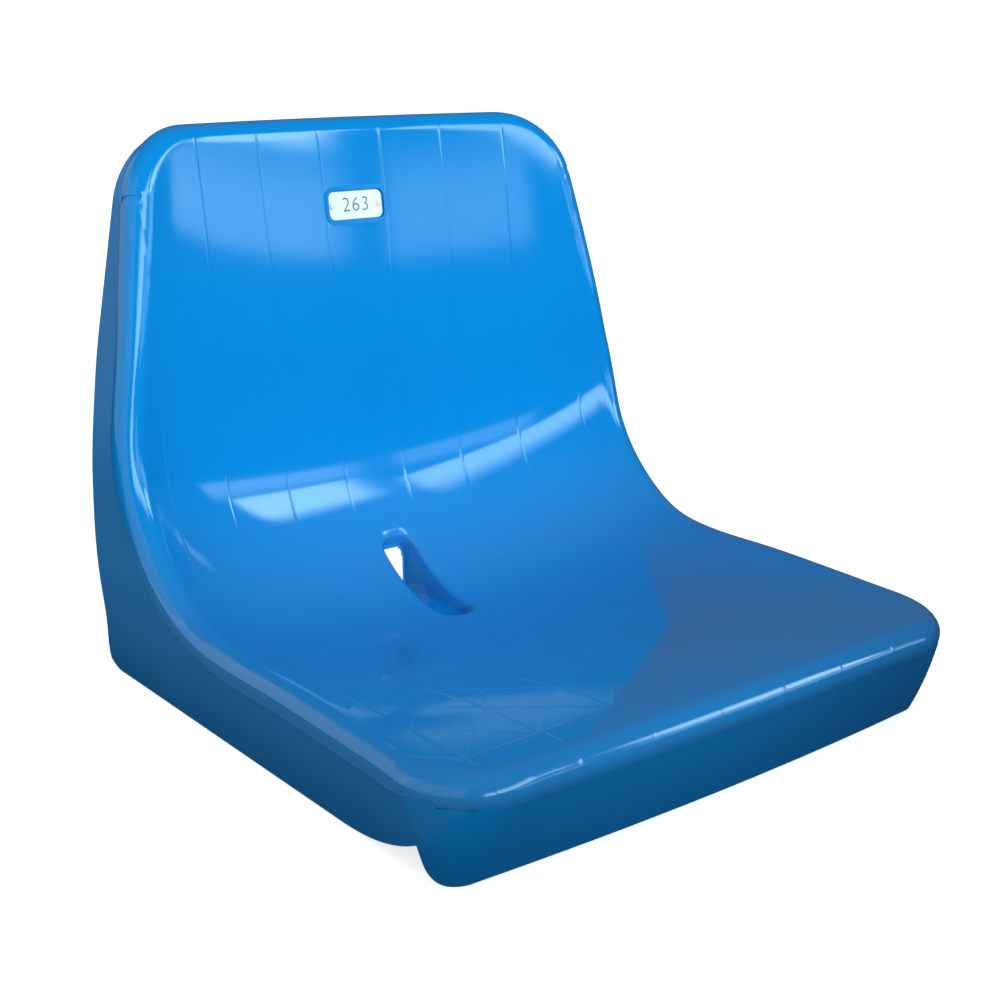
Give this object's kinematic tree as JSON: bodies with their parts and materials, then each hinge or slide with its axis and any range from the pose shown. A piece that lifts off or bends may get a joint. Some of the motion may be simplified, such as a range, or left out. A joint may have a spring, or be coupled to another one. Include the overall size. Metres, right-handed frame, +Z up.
{
  "type": "stadium seat",
  "caption": "One-piece moulded plastic bucket seat for stadium steps, with rolled rim, ribbed underside, rear drain, number plate and threaded fixing inserts.",
  "frame": {"origin": "middle of the footprint, on the floor plane", "axes": "+Z up, the seat faces -Y, X across the seat"},
  "size_m": [0.463, 0.4561, 0.4],
  "materials": {
    "blue_shell": "bright blue polypropylene, glossy face, fine matte texture on the skirts",
    "plate_metal": "thin satin aluminium strip with printed plain digits",
    "white_pin": "white nylon push pin",
    "insert_steel": "zinc-plated turned steel"
  },
  "bodies": {
    "root": {"seat_shell": "blue_shell", "number_plate": "plate_metal", "plate_pin_left": "white_pin", "plate_pin_right": "white_pin", "insert_front_left": "insert_steel", "insert_front_right": "insert_steel", "insert_rear_left": "insert_steel", "insert_rear_right": "insert_steel"}
  },
  "joints": []
}
